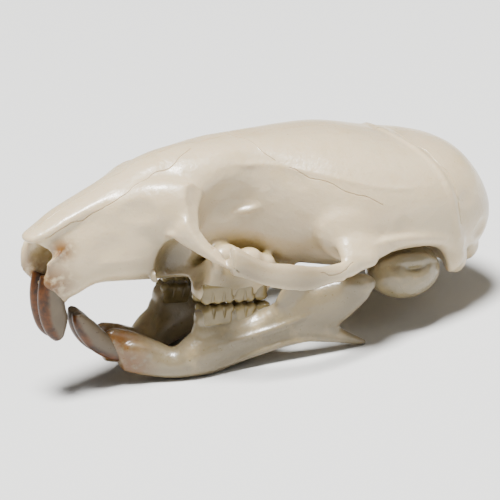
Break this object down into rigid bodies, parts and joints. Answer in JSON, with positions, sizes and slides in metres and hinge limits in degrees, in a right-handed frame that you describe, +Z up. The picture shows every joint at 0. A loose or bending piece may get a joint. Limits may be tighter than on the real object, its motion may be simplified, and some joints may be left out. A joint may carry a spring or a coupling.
{
  "type": "mouse skull",
  "caption": "Skull of a small rodent with its lower jaw, long curved front teeth, cheek teeth, thin cheek arches and round ear capsules, at life size.",
  "frame": {"origin": "middle of the skull's box at table level, with the lower jaw resting on the table", "axes": "+X from the nose to the back of the head, +Y to the animal's right, +Z up"},
  "size_m": [0.022, 0.0116, 0.01],
  "materials": {
    "bone": "cleaned bone, ivory, slightly glossy"
  },
  "bodies": {
    "root": {"cranium": "bone", "zygomatic_arch_left": "bone", "zygomatic_arch_right": "bone", "tympanic_bulla_left": "bone", "tympanic_bulla_right": "bone", "mandible_left": "bone", "mandible_right": "bone"}
  },
  "joints": []
}
